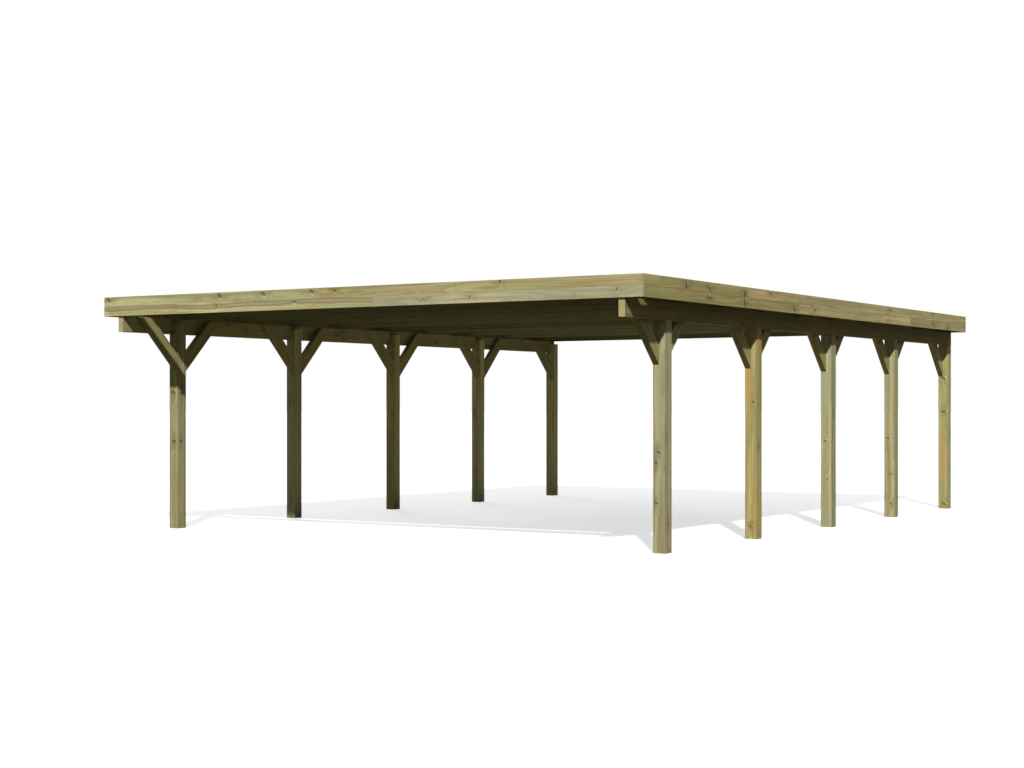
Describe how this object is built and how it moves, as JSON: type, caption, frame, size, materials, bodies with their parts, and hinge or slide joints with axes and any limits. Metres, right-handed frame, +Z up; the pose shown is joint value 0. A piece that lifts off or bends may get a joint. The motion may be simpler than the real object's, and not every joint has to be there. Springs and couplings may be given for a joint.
{
  "type": "timber carport",
  "caption": "Flat-roofed double carport: rows of timber posts carry long beams on knee braces, with rafters, ribbed roof sheets and boards round the roof edge.",
  "frame": {"origin": "on the ground, under the middle of the roof", "axes": "+X across to the right seen from the open front, +Y from the open front to the back along the rows of posts, +Z up; the front faces -Y"},
  "size_m": [6.052, 8.336, 2.331],
  "materials": {
    "post_timber": "planed, pressure-treated pine, a little weathered",
    "beam_timber": "planed, pressure-treated pine",
    "brace_timber": "planed, pressure-treated pine",
    "rafter_timber": "planed, pressure-treated pine",
    "board_timber": "planed, pressure-treated pine with eased edges",
    "sheet_metal": "dull grey coated steel sheet"
  },
  "bodies": {
    "root": {"beam_left_back": "beam_timber", "beam_left_front": "beam_timber", "beam_right_back": "beam_timber", "beam_right_front": "beam_timber", "edge_boards_back_lower": "board_timber", "edge_boards_back_upper": "board_timber", "edge_boards_front_lower": "board_timber", "edge_boards_front_upper": "board_timber", "edge_boards_left_lower": "board_timber", "edge_boards_left_upper": "board_timber", "edge_boards_right_lower": "board_timber", "edge_boards_right_upper": "board_timber", "knee_brace_left_1_back": "brace_timber", "knee_brace_left_1_front": "brace_timber", "knee_brace_left_2_back": "brace_timber", "knee_brace_left_2_front": "brace_timber", "knee_brace_left_3_back": "brace_timber", "knee_brace_left_3_front": "brace_timber", "knee_brace_left_4_back": "brace_timber", "knee_brace_left_4_front": "brace_timber", "knee_brace_left_5_front": "brace_timber", "knee_brace_right_1_back": "brace_timber", "knee_brace_right_1_front": "brace_timber", "knee_brace_right_2_back": "brace_timber", "knee_brace_right_2_front": "brace_timber", "knee_brace_right_3_back": "brace_timber", "knee_brace_right_3_front": "brace_timber", "knee_brace_right_4_back": "brace_timber", "knee_brace_right_4_front": "brace_timber", "knee_brace_right_5_front": "brace_timber", "post_left_1": "post_timber", "post_left_2": "post_timber", "post_left_3": "post_timber", "post_left_4": "post_timber", "post_left_5": "post_timber", "post_right_1": "post_timber", "post_right_2": "post_timber", "post_right_3": "post_timber", "post_right_4": "post_timber", "post_right_5": "post_timber", "rafters": "rafter_timber", "roof_sheets": "sheet_metal"}
  },
  "joints": []
}
